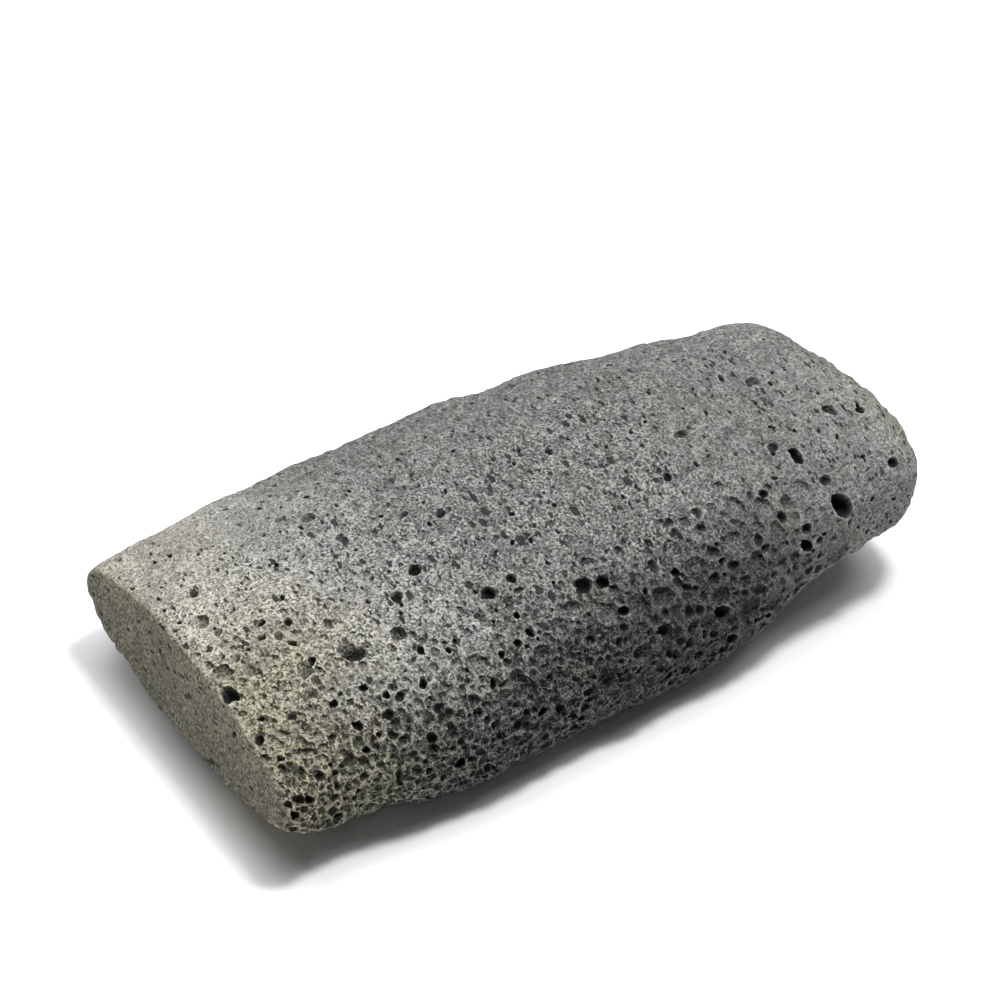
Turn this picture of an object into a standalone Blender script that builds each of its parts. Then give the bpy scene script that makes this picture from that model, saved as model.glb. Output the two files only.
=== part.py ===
"""A pumice stone for the bath, as one closed solid.

The stone is a worn bar of foamed rock along X. It is sawn off at -X and blunt at +X, and it rests on a
flat worn patch underneath, at z = 0. Seven cross-sections are joined by smooth curves along the bar,
a few swells and low waves lie over them, and gas pits are cut through the skin.

The design is in millimetres. "Around" is an angle in degrees in a cross-section: 0 is the far side
(+Y), 90 the top, 180 the near side (-Y) and 270 the underside. "Path" runs over the skin from the
middle of the sawn face (0) to its rim (1), round the rim (2), along the bar (3) and over the nose (4).
"""

import random
from typing import NamedTuple

import bmesh
import bpy
import numpy as np
from mathutils import Matrix, Vector

STONE = "pumice_stone"
MM = 0.001

LENGTH = 100.0
BREADTH = 58.0
THICKNESS = 26.0

RIM_LENGTH = 1.8
RIM_INSET = 0.05
NOSE_LENGTH = 11.0
NOSE_POWER = 3.9
WORN_FLAT = 0.5

# The sawn face is skewed across the bar and leans back about a line at this share of THICKNESS.
SAWN_SKEW = 0.05
SAWN_LEAN = 0.17
SAWN_PIVOT = 0.46

STONE_COLOUR = (0.18, 0.177, 0.163, 1.0)
STONE_ROUGHNESS = 0.93

# How finely the cage is cut along, across and up, and the paths that places along it (-1 to 1) are laid on.
CAGE_CUTS = (28, 10, 7)
CAGE_PLACES = (-1, -0.93, -0.87, 0.87, 1)
CAGE_PATHS = (1.0, 1.6, 2.02, 3.0, 3.45)

# How many places a path is looked up in, the step that gives a direction, and a length too short for one.
PATH_STEPS = 601
STEP = 1e-3
TOO_SHORT = 1e-9

# The bar is low and broad, so heights count double in the direction its swells push the skin.
OUTWARD_WEIGHTS = (1, 1, 2)


class Section(NamedTuple):
    """A cross-section: places are shares of LENGTH, BREADTH and THICKNESS, and 2 is an ellipse's power."""

    along: float
    middle: float
    breadth: float
    under: float
    top: float
    top_power: float
    under_power: float


class Swell(NamedTuple):
    """A place where the skin rises above its sections, or sinks where the rise is below zero."""

    along: float
    around: float
    reach: float
    rise: float


class Pit(NamedTuple):
    """A gas pit: its opening along and across the bar, turned on the skin by some degrees, and its depth."""

    along: float
    around: float
    long: float
    wide: float
    turn: float
    deep: float


class Strew(NamedTuple):
    """How many pits to strew over a patch of the skin: its limits along and around, and the pits' openings."""

    pits: int
    along: tuple
    around: tuple
    openings: tuple


SECTIONS = (
    Section(-0.50, 0.01, 0.89, 0.27, 0.70, 2.1, 2.2),
    Section(-0.40, 0.01, 0.95, 0.03, 0.78, 2.3, 2.7),
    Section(-0.25, 0.01, 1.00, 0.00, 0.85, 2.2, 3.0),
    Section(-0.05, 0.01, 0.97, 0.00, 0.94, 2.2, 3.2),
    Section(0.15, 0.01, 0.93, 0.01, 0.97, 2.3, 3.0),
    Section(0.31, -0.01, 0.82, 0.14, 0.99, 2.3, 2.2),
    Section(0.39, -0.03, 0.75, 0.21, 0.98, 2.8, 2.1),
)

HEEL = Swell(-47.5, 212, 7.0, 2.1)
HOLLOW_BEHIND_HEEL = Swell(-36, 205, 7.0, -1.2)
NICK_ON_NOSE = Swell(44, 100, 3.5, -0.6)
CHIN = Swell(36, 200, 5.0, 0.7)
HOLLOW_BEFORE_CHIN = Swell(46, 190, 4.0, -0.7)
SWELLS = (HEEL, HOLLOW_BEHIND_HEEL, NICK_ON_NOSE, CHIN, HOLLOW_BEFORE_CHIN)

# The low waves that wear leaves on the skin: lengths and heights in millimetres.
WAVE_LENGTHS = (23.0, 17.0, 13.0, 9.5, 7.5)
WAVE_HEIGHTS = (0.16, 0.14, 0.11, 0.08, 0.06)
WAVE_SEED = 95

# The pits that stand out to the eye, from the sawn end to the nose.
CHOSEN_PITS = (
    Pit(-48.9, 114, 2.7, 2.1, -70, 2.0),
    Pit(-48.0, 106, 2.8, 2.2, -60, 1.3),
    Pit(-46.6, 170, 1.4, 1.2, -20, 1.0),
    Pit(-45.9, 86, 2.3, 1.9, 65, 1.2),
    Pit(-45.7, 145, 3.8, 1.8, 0, 0.8),
    Pit(-44.5, 76, 1.5, 1.2, -75, 0.9),
    Pit(-44.3, 130, 1.3, 1.2, 0, 0.9),
    Pit(-41.1, 126, 1.7, 1.6, 0, 1.0),
    Pit(-40.0, 118, 2.6, 2.1, 65, 1.4),
    Pit(-39.3, 132, 1.4, 1.2, 0, 1.0),
    Pit(-37.9, 109, 1.7, 1.3, -50, 0.7),
    Pit(-34.9, 177, 3.0, 1.1, 90, 1.2),
    Pit(-34.3, 143, 1.6, 1.4, 45, 1.2),
    Pit(-33.8, 120, 3.1, 2.1, -20, 1.8),
    Pit(-25.1, 110, 1.8, 1.4, 55, 1.4),
    Pit(-24.4, 83, 2.0, 1.3, -75, 1.0),
    Pit(-20.8, 105, 2.1, 1.7, 60, 1.6),
    Pit(-17.6, 157, 3.4, 2.9, -20, 1.0),
    Pit(-15.3, 122, 2.1, 1.8, 75, 1.7),
    Pit(-12.5, 92, 1.6, 1.2, 60, 1.0),
    Pit(-7.5, 140, 3.1, 2.6, 0, 0.9),
    Pit(-4.2, 134, 2.2, 2.0, 0, 1.9),
    Pit(-1.9, 136, 2.0, 1.7, 0, 1.6),
    Pit(3.2, 166, 2.3, 1.7, -30, 1.4),
    Pit(5.5, 87, 1.5, 1.1, 55, 1.0),
    Pit(7.6, 144, 1.6, 1.4, 20, 1.2),
    Pit(11.9, 172, 2.9, 2.2, -45, 1.9),
    Pit(14.7, 114, 1.5, 1.1, 45, 1.0),
    Pit(17.9, 171, 3.3, 1.8, -35, 0.8),
    Pit(24.0, 134, 1.4, 1.1, 35, 1.1),
    Pit(31.1, 127, 2.9, 1.6, 90, 2.0),
    Pit(33.4, 155, 3.8, 2.7, -65, 2.6),
    Pit(34.8, 100, 1.9, 1.3, -70, 0.9),
    Pit(39.6, 115, 2.4, 1.5, -70, 1.2),
    Pit(42.8, 145, 1.5, 1.3, 0, 1.3),
    Pit(43.6, 119, 1.5, 1.2, -15, 1.1),
)

# The smaller pits: coarse foam low on the near side, and fewer over the rest of the skin.
NEAR_SIDE_FOAM = Strew(30, (-46, 26), (150, 206), (1.2, 2.0))
REST_OF_THE_SKIN = Strew(34, (-48, 47), (-150, 150), (1.2, 2.3))
STREWS = (NEAR_SIDE_FOAM, REST_OF_THE_SKIN)
STREW_SEED = 11
STREWN_DEPTH = 0.6
WALL = 0.7
RESTING_CLEARANCE = 4.0

# A pit's bubble has its middle this share of its depth below the skin, and fewer facets where it is small.
BUBBLE_SINK = 0.2
SMALL_PIT = 1.8
SMALL_FACETS = (8, 4)
LARGE_FACETS = (10, 6)


def blend(along, values):
    """Values at the sections, joined by a smooth curve along the bar (along is a share of LENGTH)."""
    at = np.array([section.along for section in SECTIONS])
    values = np.array(values)
    slopes = np.gradient(values, at)
    left = np.clip(np.searchsorted(at, along, side="right") - 1, 0, len(at) - 2)
    gap = at[left + 1] - at[left]
    t = (along - at[left]) / gap
    start = values[left] * (1 + 2 * t) + slopes[left] * gap * t
    end = values[left + 1] * (3 - 2 * t) - slopes[left + 1] * gap * (1 - t)
    return start * (1 - t) ** 2 + end * t**2


def profile(path):
    """The distance along the bar and the share of its section that the path has reached."""
    rim = np.clip(path - 1, 0, 1) * np.pi / 2
    nose = np.clip(path - 3, 0, 1) * np.pi / 2
    reach = (np.sin(nose) ** NOSE_POWER + np.cos(nose) ** NOSE_POWER) ** (-1 / NOSE_POWER)
    straight = LENGTH - RIM_LENGTH - NOSE_LENGTH
    along = RIM_LENGTH * (1 - np.cos(rim)) + straight * np.clip(path - 2, 0, 1) - LENGTH / 2
    along = along + NOSE_LENGTH * reach * np.sin(nose)
    share = np.clip(path, 0, 1) * (1 - RIM_INSET) + RIM_INSET * np.sin(rim)
    return along, share * reach * np.cos(nose)


def bare_skin(path, around):
    """Points of the skin without its swells, waves and worn flat, and the middle of each one's section."""
    along, share = profile(path)
    at = np.minimum(along, LENGTH / 2 - NOSE_LENGTH) / LENGTH
    middle = BREADTH * blend(at, [section.middle for section in SECTIONS])
    half_breadth = BREADTH / 2 * blend(at, [section.breadth for section in SECTIONS])
    under = THICKNESS * blend(at, [section.under for section in SECTIONS])
    top = THICKNESS * blend(at, [section.top for section in SECTIONS])
    top_power = blend(at, [section.top_power for section in SECTIONS])
    under_power = blend(at, [section.under_power for section in SECTIONS])
    cosine, sine = np.cos(around), np.sin(around)
    power = np.where(sine > 0, top_power, under_power)
    reach = share * (np.abs(cosine) ** power + np.abs(sine) ** power) ** (-1 / power)
    y = middle + half_breadth * reach * cosine
    z = (top + under) / 2 + (top - under) / 2 * reach * sine
    sawn = np.clip(-2 * along / LENGTH, 0, 1) ** 2
    x = along + sawn * (SAWN_SKEW * y + SAWN_LEAN * (z - THICKNESS * SAWN_PIVOT))
    centre = np.stack([x, middle, (top + under) / 2], axis=-1)
    return np.stack([x, y, z], axis=-1), centre


def path_at(along):
    """The path that reaches a distance along the bar, on its rim, its sides or its nose."""
    steps = np.linspace(1, 4, PATH_STEPS)
    return np.interp(along, profile(steps)[0], steps)


def unit(vectors):
    return vectors / np.maximum(np.linalg.norm(vectors, axis=-1, keepdims=True), TOO_SHORT)


def waves(points):
    """The height of the low waves at each point: a sum of sines across directions that a seed fixes."""
    rng = np.random.default_rng(WAVE_SEED)
    height = 0.0
    for length, amount in zip(WAVE_LENGTHS, WAVE_HEIGHTS):
        for direction in unit(rng.normal(size=(2, 3))):
            phase = rng.uniform(0, 2 * np.pi)
            height = height + amount * np.sin(2 * np.pi * (points @ direction) / length + phase)
    return height


def skin(path, around):
    """Points of the whole skin, before its pits, in millimetres."""
    points, centre = bare_skin(path, around)
    outward = unit((points - centre) * OUTWARD_WEIGHTS)
    rise = waves(points)
    for swell in SWELLS:
        place, _ = bare_skin(path_at(swell.along), np.radians(float(swell.around)))
        apart = np.linalg.norm(points - place, axis=-1)
        rise = rise + swell.rise * np.exp(-((apart / swell.reach) ** 2))
    points = points + outward * rise[..., None]
    points[..., 2] = np.maximum(points[..., 2], WORN_FLAT)
    return points


def skin_frame(along, around):
    """A point of the skin, with its direction along the bar, the direction across that and its normal."""
    path, turn = path_at(along), np.radians(around)
    point = skin(path, turn)
    ahead = unit(skin(path + STEP, turn) - skin(path - STEP, turn))
    across = skin(path, turn + STEP) - skin(path, turn - STEP)
    normal = unit(np.cross(across, ahead))
    return point, ahead, np.cross(normal, ahead), normal


def strewn_pits():
    """Small pits in places drawn by a seed, clear of each other and of the middle of the worn flat."""
    dice = random.Random(STREW_SEED)
    taken = [(skin_frame(pit.along, pit.around)[0], pit.long) for pit in CHOSEN_PITS]
    taken.append((np.array([0.0, 0.0, WORN_FLAT]), RESTING_CLEARANCE))
    pits = []
    for strew in STREWS:
        wanted = len(pits) + strew.pits
        while len(pits) < wanted:
            along, around = dice.uniform(*strew.along), dice.uniform(*strew.around)
            opening = dice.triangular(*strew.openings, strew.openings[0])
            pit = Pit(along, around, opening, opening * dice.uniform(0.75, 1), dice.uniform(-90, 90),
                      opening * STREWN_DEPTH)
            place = skin_frame(along, around)[0]
            if all(np.linalg.norm(place - other) > (opening + size) / 2 + WALL for other, size in taken):
                taken.append((place, opening))
                pits.append(pit)
    return pits


def cage():
    """A cube cut into an even grid of quads, from -1 to 1 on each axis."""
    grid = bmesh.new()
    bmesh.ops.create_cube(grid, size=2)
    for axis, cuts in enumerate(CAGE_CUTS):
        along_axis = [e for e in grid.edges if abs(e.verts[0].co[axis] - e.verts[1].co[axis]) > 1]
        bmesh.ops.subdivide_edges(grid, edges=along_axis, cuts=cuts, use_grid_fill=True)
    return grid


def stone_mesh():
    """The cage laid on the skin: its long sides run along the bar, and its ends fill the face and the nose."""
    grid = cage()
    corners = np.array([vertex.co for vertex in grid.verts])
    ends = np.isclose(np.abs(corners[:, 0]), 1)
    square = np.abs(corners[:, 1:]).max(axis=1)
    side_path = np.interp(corners[:, 0], CAGE_PLACES, CAGE_PATHS)
    face_path = CAGE_PATHS[0] * square
    nose_path = 4 - (4 - CAGE_PATHS[-1]) * square
    end_path = np.where(corners[:, 0] < 0, face_path, nose_path)
    around = np.arctan2(corners[:, 2], corners[:, 1])
    points = skin(np.where(ends, end_path, side_path), around) * MM
    for vertex, point in zip(grid.verts, points):
        vertex.co = point
    mesh = bpy.data.meshes.new(STONE)
    grid.to_mesh(mesh)
    grid.free()
    return mesh


def pit_cutter(name, pit):
    """A bubble that opens the skin: a ball scaled to the pit, with its middle just below the skin."""
    point, ahead, across, normal = (Vector(part) for part in skin_frame(pit.along, pit.around))
    ball = bmesh.new()
    sides, rings = SMALL_FACETS if pit.long < SMALL_PIT else LARGE_FACETS
    bmesh.ops.create_uvsphere(ball, u_segments=sides, v_segments=rings, radius=1)
    size = Matrix.Diagonal((pit.long / 2, pit.wide / 2, pit.deep / (1 + BUBBLE_SINK), 1))
    axes = Matrix((ahead, across, normal)).transposed().to_4x4()
    turned = axes @ Matrix.Rotation(np.radians(pit.turn), 4, "Z") @ size
    sunk = Matrix.Translation(point - normal * size[2][2] * BUBBLE_SINK)
    bmesh.ops.transform(ball, matrix=Matrix.Scale(MM, 4) @ sunk @ turned, verts=ball.verts)
    mesh = bpy.data.meshes.new(name)
    ball.to_mesh(mesh)
    ball.free()
    cutter = bpy.data.objects.new(name, mesh)
    cutter.hide_render = True
    cutter.display_type = "WIRE"
    return cutter


def pumice_material():
    """Grey foamed rock, dull all over."""
    material = bpy.data.materials.new("pumice")
    material.use_nodes = True
    surface = material.node_tree.nodes["Principled BSDF"]
    surface.inputs["Base Color"].default_value = STONE_COLOUR
    surface.inputs["Roughness"].default_value = STONE_ROUGHNESS
    surface.inputs["Metallic"].default_value = 0.0
    return material


def new_collection(name):
    collection = bpy.data.collections.new(name)
    bpy.context.scene.collection.children.link(collection)
    return collection


def centre_on_floor(stone, cutters):
    """Moves the stone and its cutters, so that its box is centred in X and Y and its underside is at z = 0."""
    corners = np.array([vertex.co for vertex in stone.data.vertices])
    low, high = corners.min(axis=0), corners.max(axis=0)
    shift = Matrix.Translation((-(low[0] + high[0]) / 2, -(low[1] + high[1]) / 2, -low[2]))
    for thing in (stone, *cutters):
        thing.data.transform(shift)


def main():
    for thing in list(bpy.data.objects):
        bpy.data.objects.remove(thing, do_unlink=True)
    stone = bpy.data.objects.new(STONE, stone_mesh())
    stone.data.materials.append(pumice_material())
    new_collection("pumice stone").objects.link(stone)
    pits = [*CHOSEN_PITS, *strewn_pits()]
    cutters = [pit_cutter(f"pit_{number:03d}", pit) for number, pit in enumerate(pits, 1)]
    bubbles = new_collection("pits")
    bubbles.hide_render = True
    for cutter in cutters:
        bubbles.objects.link(cutter)
    centre_on_floor(stone, cutters)
    cut = stone.modifiers.new("pits", "BOOLEAN")
    cut.operation = "DIFFERENCE"
    cut.solver = "EXACT"
    cut.operand_type = "COLLECTION"
    cut.collection = bubbles


main()
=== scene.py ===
"""Dresses the pumice stone: its pitted skin, its grain and colours, and the floor, light and camera.

The skin is worked out in millimetres on a grid of two parameters. "Around" is an angle in degrees in a
cross-section: 0 is the far side (+Y), 90 the top, 180 the near side (-Y) and 270 the underside. "Path" runs
over the skin from the middle of the sawn face (0) to its rim (1), round the rim (2), along the bar (3) and
over the nose (4). Rows of the grid follow the path and columns go around. Bubbles are then opened in it:
first the large pits of the solid, then thousands of small ones, all drawn out along one flow direction.
"""

import functools
import random
from typing import NamedTuple

import bpy
import numpy as np
from bpy.props import FloatProperty, FloatVectorProperty, IntProperty, PointerProperty
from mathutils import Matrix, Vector


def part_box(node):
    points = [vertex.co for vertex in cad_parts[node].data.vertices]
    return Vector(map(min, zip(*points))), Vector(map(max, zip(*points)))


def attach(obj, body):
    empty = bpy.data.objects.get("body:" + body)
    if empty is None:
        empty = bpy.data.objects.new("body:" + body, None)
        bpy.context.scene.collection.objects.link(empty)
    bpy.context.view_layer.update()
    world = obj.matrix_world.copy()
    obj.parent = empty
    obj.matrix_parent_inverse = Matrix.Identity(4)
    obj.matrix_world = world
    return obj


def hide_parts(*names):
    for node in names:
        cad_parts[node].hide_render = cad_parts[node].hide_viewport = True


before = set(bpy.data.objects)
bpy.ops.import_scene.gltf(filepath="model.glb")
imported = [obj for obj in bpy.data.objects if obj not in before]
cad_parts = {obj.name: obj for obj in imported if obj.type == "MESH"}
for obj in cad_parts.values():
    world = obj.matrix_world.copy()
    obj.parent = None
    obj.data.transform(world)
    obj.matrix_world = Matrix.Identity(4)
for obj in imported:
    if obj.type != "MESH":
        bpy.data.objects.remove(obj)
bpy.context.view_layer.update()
NODE = "pumice_stone"

bl_info = {
    "name": "Pumice Stone",
    "version": (1, 0, 0),
    "blender": (4, 5, 0),
    "location": "3D View > Sidebar > Pumice",
    "description": "A bath stone of foamed volcanic glass, sawn off at one end and worn round",
    "category": "Add Mesh",
}

MM = 0.001
UV_MAP = "OFBake"

LENGTH = 100.0
BREADTH = 58.0
THICKNESS = 26.0
RIM_LENGTH = 1.8
RIM_INSET = 0.05
NOSE_LENGTH = 11.0
NOSE_POWER = 3.9
WORN_FLAT = 0.5

# The sawn face is skewed across the bar and leans back about a line at this share of THICKNESS.
SAWN_SKEW = 0.05
SAWN_LEAN = 0.17
SAWN_PIVOT = 0.46

# The foam was drawn out while it was hot: its bubbles are long along FLOW, which is the Y axis turned by
# FLOW_TURN. These are the lengths, as multiples of the widths, of the pores too fine for the mesh and of
# the slits.
FLOW = np.array([-0.14, -0.99, 0.0])
FLOW_TURN = np.radians(-8.0)
FLOW_DRAWN = 1.9
SLIT_DRAWN = 4.0

# The middle of the underside, where the two ends of each row of the grid meet.
SEAM_DEGREES = -90.0

# How finely lengths are measured, the path of the ring that they are measured around and the degrees between
# the rays that they are measured along. Then the step over which a direction is taken, a length too short for
# one, and how heights count in the direction that swells push the skin.
PATH_STEPS = 1601
RING_STEPS = 1441
RING_PATH = 2.4
RAY_DEGREES = 30.0
STEP = 1e-3
TOO_SHORT = 1e-9
OUTWARD_WEIGHTS = (1, 1, 2)


class Section(NamedTuple):
    """A cross-section: places are shares of LENGTH, BREADTH and THICKNESS, and 2 is an ellipse's power."""

    along: float
    middle: float
    breadth: float
    under: float
    top: float
    top_power: float
    under_power: float


class Swell(NamedTuple):
    """A place where the skin rises above its sections, or sinks where the rise is below zero."""

    along: float
    around: float
    reach: float
    rise: float


class Pit(NamedTuple):
    """A gas pit: its opening along and across the bar, turned on the skin by some degrees, and its depth."""

    along: float
    around: float
    long: float
    wide: float
    turn: float
    deep: float


class Strew(NamedTuple):
    """How many pits to strew over a patch of the skin, its limits along and around, and their openings."""

    pits: int
    along: tuple
    around: tuple
    openings: tuple


class Foam(NamedTuple):
    """Small bubbles of one region.

    They have the number tried, their mouths' radii, how far apart two of them stay as a share of both
    radii, their depth as a share of their mouths, the share of them that are twice as deep, and how far
    they are drawn out along FLOW.
    """

    region: str
    tries: int
    radii: tuple
    apart: float
    depth: float
    deep: float
    drawn: float


class Zone(NamedTuple):
    """Where a region lies, along the bar in millimetres and around it in degrees from the underside's middle.

    Over the first two of four places it comes in, and over the last two it goes out again.
    """

    along: tuple
    around: tuple


class Look(NamedTuple):
    """What the skin is like.

    It has the height of its relief in millimetres, the strength of its fine net of cells, its coarse cells,
    its slits and its grit, and the tone that its colours are scaled by, partly painted light and shade.
    """

    relief: float
    net: float
    cells: float
    slits: float
    grit: float
    tone: float


class Lamp(NamedTuple):
    """A round soft light: azimuth and elevation in degrees, distance and breadth in metres, and watts."""

    name: str
    azimuth: float
    elevation: float
    distance: float
    breadth: float
    power: float


SECTIONS = (
    Section(-0.50, 0.01, 0.89, 0.27, 0.70, 2.1, 2.2),
    Section(-0.40, 0.01, 0.95, 0.03, 0.78, 2.3, 2.7),
    Section(-0.25, 0.01, 1.00, 0.00, 0.85, 2.2, 3.0),
    Section(-0.05, 0.01, 0.97, 0.00, 0.94, 2.2, 3.2),
    Section(0.15, 0.01, 0.93, 0.01, 0.97, 2.3, 3.0),
    Section(0.31, -0.01, 0.82, 0.14, 0.99, 2.3, 2.2),
    Section(0.39, -0.03, 0.75, 0.21, 0.98, 2.8, 2.1),
)

HEEL = Swell(-47.5, 212, 7.0, 2.1)
HOLLOW_BEHIND_HEEL = Swell(-36, 205, 7.0, -1.2)
NICK_ON_NOSE = Swell(44, 100, 3.5, -0.6)
CHIN = Swell(36, 200, 5.0, 0.7)
HOLLOW_BEFORE_CHIN = Swell(46, 190, 4.0, -0.7)
SWELLS = (HEEL, HOLLOW_BEHIND_HEEL, NICK_ON_NOSE, CHIN, HOLLOW_BEFORE_CHIN)

WAVE_LENGTHS = (23.0, 17.0, 13.0, 9.5, 7.5)
WAVE_HEIGHTS = (0.16, 0.14, 0.11, 0.08, 0.06)
WAVE_SEED = 95

CHOSEN_PITS = (
    Pit(-48.9, 114, 2.7, 2.1, -70, 2.0),
    Pit(-48.0, 106, 2.8, 2.2, -60, 1.3),
    Pit(-46.6, 170, 1.4, 1.2, -20, 1.0),
    Pit(-45.9, 86, 2.3, 1.9, 65, 1.2),
    Pit(-45.7, 145, 3.8, 1.8, 0, 0.8),
    Pit(-44.5, 76, 1.5, 1.2, -75, 0.9),
    Pit(-44.3, 130, 1.3, 1.2, 0, 0.9),
    Pit(-41.1, 126, 1.7, 1.6, 0, 1.0),
    Pit(-40.0, 118, 2.6, 2.1, 65, 1.4),
    Pit(-39.3, 132, 1.4, 1.2, 0, 1.0),
    Pit(-37.9, 109, 1.7, 1.3, -50, 0.7),
    Pit(-34.9, 177, 3.0, 1.1, 90, 1.2),
    Pit(-34.3, 143, 1.6, 1.4, 45, 1.2),
    Pit(-33.8, 120, 3.1, 2.1, -20, 1.8),
    Pit(-25.1, 110, 1.8, 1.4, 55, 1.4),
    Pit(-24.4, 83, 2.0, 1.3, -75, 1.0),
    Pit(-20.8, 105, 2.1, 1.7, 60, 1.6),
    Pit(-17.6, 157, 3.4, 2.9, -20, 1.0),
    Pit(-15.3, 122, 2.1, 1.8, 75, 1.7),
    Pit(-12.5, 92, 1.6, 1.2, 60, 1.0),
    Pit(-7.5, 140, 3.1, 2.6, 0, 0.9),
    Pit(-4.2, 134, 2.2, 2.0, 0, 1.9),
    Pit(-1.9, 136, 2.0, 1.7, 0, 1.6),
    Pit(3.2, 166, 2.3, 1.7, -30, 1.4),
    Pit(5.5, 87, 1.5, 1.1, 55, 1.0),
    Pit(7.6, 144, 1.6, 1.4, 20, 1.2),
    Pit(11.9, 172, 2.9, 2.2, -45, 1.9),
    Pit(14.7, 114, 1.5, 1.1, 45, 1.0),
    Pit(17.9, 171, 3.3, 1.8, -35, 0.8),
    Pit(24.0, 134, 1.4, 1.1, 35, 1.1),
    Pit(31.1, 127, 2.9, 1.6, 90, 2.0),
    Pit(33.4, 155, 3.8, 2.7, -65, 2.6),
    Pit(34.8, 100, 1.9, 1.3, -70, 0.9),
    Pit(39.6, 115, 2.4, 1.5, -70, 1.2),
    Pit(42.8, 145, 1.5, 1.3, 0, 1.3),
    Pit(43.6, 119, 1.5, 1.2, -15, 1.1),
)
NEAR_SIDE_FOAM = Strew(30, (-46, 26), (150, 206), (1.2, 2.0))
REST_OF_THE_SKIN = Strew(34, (-48, 47), (-150, 150), (1.2, 2.3))
STREWS = (NEAR_SIDE_FOAM, REST_OF_THE_SKIN)
STREW_SEED = 11
STREWN_DEPTH = 0.6
STREWN_WIDTH = (0.75, 1)
WALL = 0.7
RESTING_CLEARANCE = 4.0
BUBBLE_SINK = 0.2

# The small bubbles, region by region, with the hollows first. A bubble is left out where it doesn't fit.
FOAMS = (
    Foam("hollows", 110, (1.1, 2.3), 0.9, 0.26, 0.0, 1.3),
    Foam("coarse foam", 7000, (0.28, 0.85), 0.82, 0.46, 0.1, 1.3),
    Foam("near side", 3600, (0.28, 1.1), 0.86, 0.47, 0.1, 1.4),
    Foam("olive corner", 1400, (0.28, 0.85), 0.98, 0.44, 0.06, 1.2),
    Foam("nose", 500, (0.3, 0.5), 1.6, 0.5, 0.4, 2.0),
    Foam("sawn face", 60, (0.28, 0.4), 2.0, 0.6, 0.3, 2.4),
    Foam("top", 500, (0.28, 0.45), 1.8, 0.6, 0.5, 1.8),
    Foam("far side", 1500, (0.28, 0.7), 1.1, 0.42, 0.2, 1.3),
    Foam("underside", 900, (0.28, 0.7), 1.4, 0.38, 0.1, 1.5),
)
FOAM_SEED = 5
FOAM_SINK = 0.3
# How the radii fall between their limits (mostly small, with a tail of large ones), how the gaps, the depths
# and the lengths vary from bubble to bubble, and how far their directions stray from FLOW.
RADIUS_SPREAD = (1.0, 3.2)
APART_SPREAD = (0.85, 1.3)
DEPTH_SPREAD = (0.6, 1.4)
DRAWN_SPREAD = (0.5, 1.5)
FLOW_STRAY = 0.35
# Where the skin has sunk this far (in mm), a pit is open already and no small bubble starts.
PIT_EDGE = 0.2
# A bubble this many times as deep as its mouth's radius is shut in, and gets the full painted shade of its
# depths.
SHUT_IN = 1.5
# A point keeps its own height by its share of the mouth's radius to this power. A bubble may move points up
# to this many times its size away. Gaps and normals are taken over this many points to each side, a gap is
# never less than this (in mm), and no small bubble starts on this many rows by the poles.
RIM_POWER = 4
MOUTH_REACH = 1.5
GAP_REACH = 3
LEAST_GAP = 1e-3
POLE_ROWS = 4
# A wall stands out where it is this much higher (in mm) than the mean of so many rows and columns around it.
RIDGE_HEIGHT = 0.22
RIDGE_REACH = 2

# Noise that roughens the skin and bends the bubbles' outlines: sizes in mm, heights as shares of a region's
# relief or in mm, seeds, and the number of the lattice's points along each axis.
RELIEF_LAYERS = ((1.6, 1.0), (0.8, 0.8))
RELIEF_SEED = 31
WARP_LAYERS = ((1.1, 0.26), (0.5, 0.15))
WARP_SEED = 41
LATTICE = 64
# The rim of the sawn face is rougher by this much, over these paths.
RIM_RELIEF = 0.14
RIM_PATHS = (0.75, 1.0, 1.6, 2.1)

ALWAYS = (-99, -98, 98, 99)
ZONES = {
    "hollows": Zone((-24, -12, 16, 34), (214, 260, 302, 322)),
    "coarse foam": Zone((-99, -98, -14, 2), (208, 252, 302, 322)),
    "near side": Zone((-99, -98, 16, 34), (208, 252, 302, 322)),
    "olive corner": Zone((-99, -98, -37, -27), (182, 198, 240, 265)),
    "nose": Zone((22, 34, 98, 99), (150, 170, 315, 330)),
    "far side": Zone(ALWAYS, (30, 50, 115, 135)),
}
ABOVE_THE_UNDERSIDE = (30, 50, 308, 326)
FACE_PATHS = (1.2, 1.6)
# How far the regions' edges wander, in mm along the bar and in degrees around it, with that noise's sizes.
EDGE_WANDER = ((3.0, 7.0), (9.0, 5.0))
EDGE_SEED = 21

# The plain skin, and what each region adds to it. The darker tones of the coarse foam and the near side are
# partly their own and partly painted shade, for the side that faces away from the light.
PLAIN = Look(0.13, 0.6, 0.0, 0.0, 0.35, 0.7)
ADDED = {
    "coarse foam": Look(0.17, 0.35, 1.0, 0.0, 0.2, -0.56),
    "near side": Look(0.2, -0.15, 0.35, 0.0, -0.2, -0.5),
    "olive corner": Look(0.07, 0.0, 0.0, 0.0, 0.0, -0.2),
    "nose": Look(0.07, -0.15, 0.0, 0.9, 0.0, 0.0),
    "sawn face": Look(-0.06, -0.5, 0.0, 0.2, 0.15, 0.0),
    "underside": Look(-0.06, 0.0, 0.0, 0.0, 0.0, 0.0),
}
# Tones beside those, partly the stone's own and partly painted light and shade for how the light falls: over
# these places the sawn end is paler (rugged foam less so), the middle is darker, and the foam by the near
# corner and the front of the nose are paler.
PALE_END = (-42, -12)
PALE_TONE = 0.7
PALE_LESS = 0.72
DARK_MIDDLE = (-35, -5, 28, 40)
DARK_TONE = 0.12
PALE_CORNER = (-46, -30)
CORNER_TONE = 0.4
PALE_NOSE = (38, 47)
NOSE_TONE = 0.16
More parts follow.
